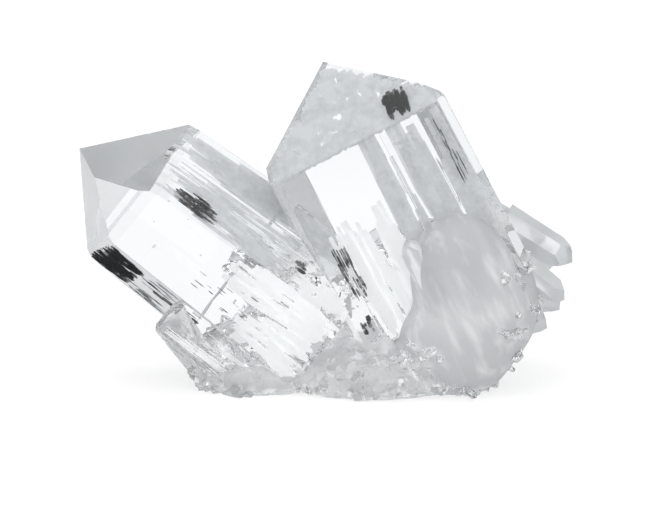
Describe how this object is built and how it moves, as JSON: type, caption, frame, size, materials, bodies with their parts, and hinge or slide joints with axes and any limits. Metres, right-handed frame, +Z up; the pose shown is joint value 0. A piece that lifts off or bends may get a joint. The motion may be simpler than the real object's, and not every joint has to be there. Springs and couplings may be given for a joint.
{
  "type": "quartz crystal cluster",
  "caption": "Clear quartz crystals grown together on a rounded, frosted foot that is sawn flat underneath, so that the cluster stands by itself.",
  "frame": {"origin": "middle of the bounding box's footprint, on the flat sawn underside", "axes": "+X along the cluster's length towards the small points on the right flank, +Y to the back, +Z up"},
  "size_m": [0.0794, 0.0384, 0.0514],
  "materials": {
    "clear_quartz": "clear colourless quartz: glassy, striated crystal faces, and a frosted, cloudy foot"
  },
  "bodies": {
    "root": {"quartz_cluster": "clear_quartz"}
  },
  "joints": []
}
